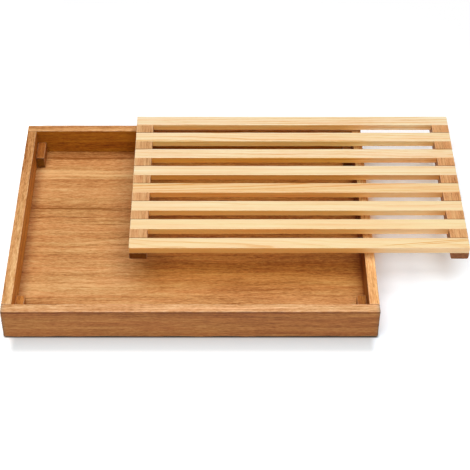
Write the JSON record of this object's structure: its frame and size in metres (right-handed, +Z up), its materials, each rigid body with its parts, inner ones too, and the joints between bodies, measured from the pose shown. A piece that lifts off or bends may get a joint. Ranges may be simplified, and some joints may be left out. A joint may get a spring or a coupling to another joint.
{
  "type": "bread board with crumb catcher",
  "caption": "Open wooden tray that catches crumbs, with a lift-off slatted cutting rack on notched crossbars that lies across the tray's rim.",
  "frame": {"origin": "middle of the tray's underside, where the tray stands on a table", "axes": "+X to the right along the tray's length, +Y to the back, +Z up out of the open tray"},
  "size_m": [0.5017, 0.305, 0.0568],
  "materials": {
    "wall_wood": "oiled",
    "floor_wood": "oiled",
    "block_wood": "sanded",
    "slat_wood": "sanded",
    "crossbar_wood": "sanded",
    "dowel_wood": "raw"
  },
  "bodies": {
    "tray": {"front_wall": "wall_wood", "back_wall": "wall_wood", "left_wall": "wall_wood", "right_wall": "wall_wood", "bottom_panel": "floor_wood", "corner_block_front_left": "block_wood", "corner_block_front_right": "block_wood", "corner_block_back_left": "block_wood", "corner_block_back_right": "block_wood", "dowel_front_left_lower": "dowel_wood", "dowel_front_left_upper": "dowel_wood", "dowel_front_right_lower": "dowel_wood", "dowel_front_right_upper": "dowel_wood", "dowel_back_left_lower": "dowel_wood", "dowel_back_left_upper": "dowel_wood", "dowel_back_right_lower": "dowel_wood", "dowel_back_right_upper": "dowel_wood"},
    "rack": {"crossbar_left": "crossbar_wood", "crossbar_right": "crossbar_wood", "slat_1": "slat_wood", "slat_2": "slat_wood", "slat_3": "slat_wood", "slat_4": "slat_wood", "slat_5": "slat_wood", "slat_6": "slat_wood", "slat_7": "slat_wood", "slat_8": "slat_wood"}
  },
  "joints": [
    {"name": "rack_lift", "type": "slide", "parent": "tray", "child": "rack", "axis": [0, 0, 1], "range_m": [0, 0.12]}
  ]
}
